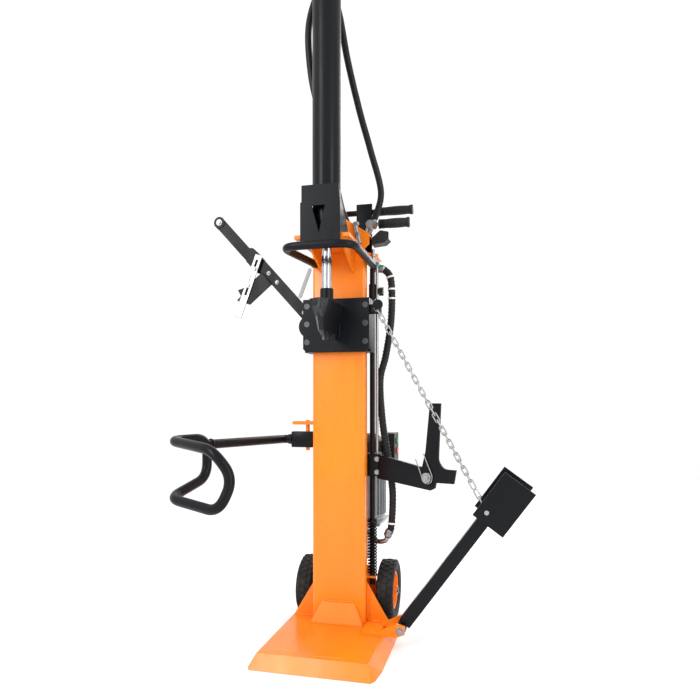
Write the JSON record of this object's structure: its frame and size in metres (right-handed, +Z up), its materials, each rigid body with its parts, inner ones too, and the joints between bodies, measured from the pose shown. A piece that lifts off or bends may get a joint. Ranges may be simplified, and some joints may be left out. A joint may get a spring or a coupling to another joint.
{
  "type": "log splitter",
  "caption": "Upright hydraulic log splitter with a sliding wedge on a box column, chain-lifted log lifter, catch arms, overhead cylinder and transport wheels.",
  "frame": {"origin": "on the ground, under the middle of the column's front face", "axes": "+Z up, the working side faces -Y, +X towards the log lifter"},
  "size_m": [1.1359, 0.8246, 2.287],
  "materials": {
    "orange_paint": "glossy powder coat",
    "black_paint": "satin powder coat",
    "chrome": "polished",
    "zinc_plate": "bright zinc plate",
    "grey_paint": "satin",
    "cast_aluminium": "as cast",
    "hose_rubber": "satin",
    "grip_rubber": "matte",
    "tyre_rubber": "matte",
    "black_plastic": "fine grain",
    "green_plastic": "gloss",
    "red_plastic": "gloss"
  },
  "bodies": {
    "frame": {"base_plate": "orange_paint", "base_rail": "orange_paint", "rear_foot": "orange_paint", "column": "orange_paint", "oil_tank": "orange_paint", "gusset_left": "orange_paint", "gusset_right": "orange_paint", "axle_bracket": "orange_paint", "axle": "zinc_plate", "head_plate": "orange_paint", "cylinder_bracket": "black_paint", "cylinder_tube": "black_paint", "cylinder_gland": "black_paint", "guard_hoop": "black_paint", "lifter_bracket": "orange_paint", "lever_bracket": "black_paint", "catch_bracket": "orange_paint", "right_arm": "black_paint", "spring_bracket": "orange_paint", "control_bracket": "orange_paint", "control_valve": "grey_paint", "lever_console": "black_plastic", "transport_handle": "black_paint", "handle_grip": "grip_rubber", "rod_side_hose": "hose_rubber", "cap_side_hose": "hose_rubber", "pressure_hose": "hose_rubber", "motor": "grey_paint", "fan_cover": "black_plastic", "pump": "cast_aluminium", "switch_box": "black_plastic"},
    "wheel_left": {"tyre_left": "tyre_rubber", "rim_left": "orange_paint"},
    "wheel_right": {"tyre_right": "tyre_rubber", "rim_right": "orange_paint"},
    "carriage": {"carriage_plate": "black_paint", "guide_left": "black_paint", "guide_right": "black_paint", "wedge": "black_paint", "rod_collar": "black_paint", "piston_rod": "chrome", "piston": "grey_paint"},
    "chain": {"lifter_chain": "zinc_plate"},
    "lifter": {"lifter_sleeve": "black_paint", "lifter_beam": "black_paint", "lifter_cradle": "black_paint"},
    "lever": {"left_lever": "black_paint", "log_claw": "black_paint"},
    "strut": {"lever_strut": "grey_paint"},
    "claw": {"claw_strip": "zinc_plate"},
    "catch": {"catch_block": "black_paint", "catch_arm": "black_paint"},
    "hook": {"log_hook": "black_paint"},
    "stroke": {"stroke_rod": "black_paint", "return_spring": "black_paint"},
    "knob": {"star_knob": "black_plastic"},
    "control": {"control_lever": "zinc_plate", "lever_grip": "grip_rubber"},
    "start": {"start_button": "green_plastic"},
    "stop": {"stop_button": "red_plastic"}
  },
  "joints": [
    {"name": "carriage_slide", "type": "slide", "parent": "frame", "child": "carriage", "axis": [0, 0, 1], "range_m": [-0.78, 0.09]},
    {"name": "chain_hinge", "type": "hinge", "parent": "carriage", "child": "chain", "pos_m": [0.138, -0.03, 1.09], "axis": [0, 1, 0], "range_deg": [-44.8, 5.2]},
    {"name": "lifter_hinge", "type": "hinge", "parent": "frame", "child": "lifter", "pos_m": [0.225, -0.05, 0.062], "axis": [0, 1, 0], "range_deg": [-6.1, 52]},
    {"name": "wheel_left_spin", "type": "hinge", "parent": "frame", "child": "wheel_left", "pos_m": [-0.145, 0.16, 0.1115], "axis": [1, 0, 0], "continuous": true},
    {"name": "wheel_right_spin", "type": "hinge", "parent": "frame", "child": "wheel_right", "pos_m": [0.145, 0.16, 0.1115], "axis": [1, 0, 0], "continuous": true},
    {"name": "left_lever_hinge", "type": "hinge", "parent": "frame", "child": "lever", "pos_m": [-0.128, 0.082, 1.06], "axis": [0, 1, 0], "range_deg": [-30, 0], "stiffness_Nm_per_rad": 9, "springref_deg": 40.11},
    {"name": "strut_hinge", "type": "hinge", "parent": "lever", "child": "strut", "pos_m": [-0.161, 0.082, 1.158], "axis": [0, 1, 0], "range_deg": [0, 30]},
    {"name": "claw_slide", "type": "slide", "parent": "lever", "child": "claw", "axis": [0.3483, 0, 0.9374], "range_m": [-0.03, 0.03]},
    {"name": "catch_hinge", "type": "hinge", "parent": "frame", "child": "catch", "pos_m": [-0.135, 0.085, 0.649], "axis": [0, 0, 1], "range_deg": [-75, 0]},
    {"name": "log_hook_hinge", "type": "hinge", "parent": "frame", "child": "hook", "pos_m": [0.309, -0.006, 0.538], "axis": [0.3744, 0.9273, 0], "range_deg": [0, 60], "stiffness_Nm_per_rad": 4, "springref_deg": -34.38},
    {"name": "stroke_rod_slide", "type": "slide", "parent": "frame", "child": "stroke", "axis": [0, 0, 1], "range_m": [-0.025, 0], "stiffness_N_per_m": 1000, "springref_m": 0.03, "deforming": ["return_spring"]},
    {"name": "star_knob_turn", "type": "hinge", "parent": "stroke", "child": "knob", "pos_m": [0.1145, 0.0855, 1.165], "axis": [1, 0, 0], "continuous": true},
    {"name": "control_lever_hinge", "type": "hinge", "parent": "frame", "child": "control", "pos_m": [0.098, 0.06, 1.391], "axis": [0, 1, 0], "range_deg": [-12, 8], "stiffness_Nm_per_rad": 8, "springref_deg": -1.72},
    {"name": "start_button_slide", "type": "slide", "parent": "frame", "child": "start", "axis": [1, 0, 0], "range_m": [-0.004, 0], "stiffness_N_per_m": 500, "springref_m": 0.002},
    {"name": "stop_button_slide", "type": "slide", "parent": "frame", "child": "stop", "axis": [1, 0, 0], "range_m": [-0.004, 0], "stiffness_N_per_m": 500, "springref_m": 0.002}
  ],
  "couplings": [
    {"joint": "lifter_hinge", "follows": "carriage_slide", "rad_per_m": -1.16},
    {"joint": "chain_hinge", "follows": "carriage_slide", "rad_per_m": 1},
    {"joint": "strut_hinge", "follows": "left_lever_hinge", "ratio": -1}
  ]
}
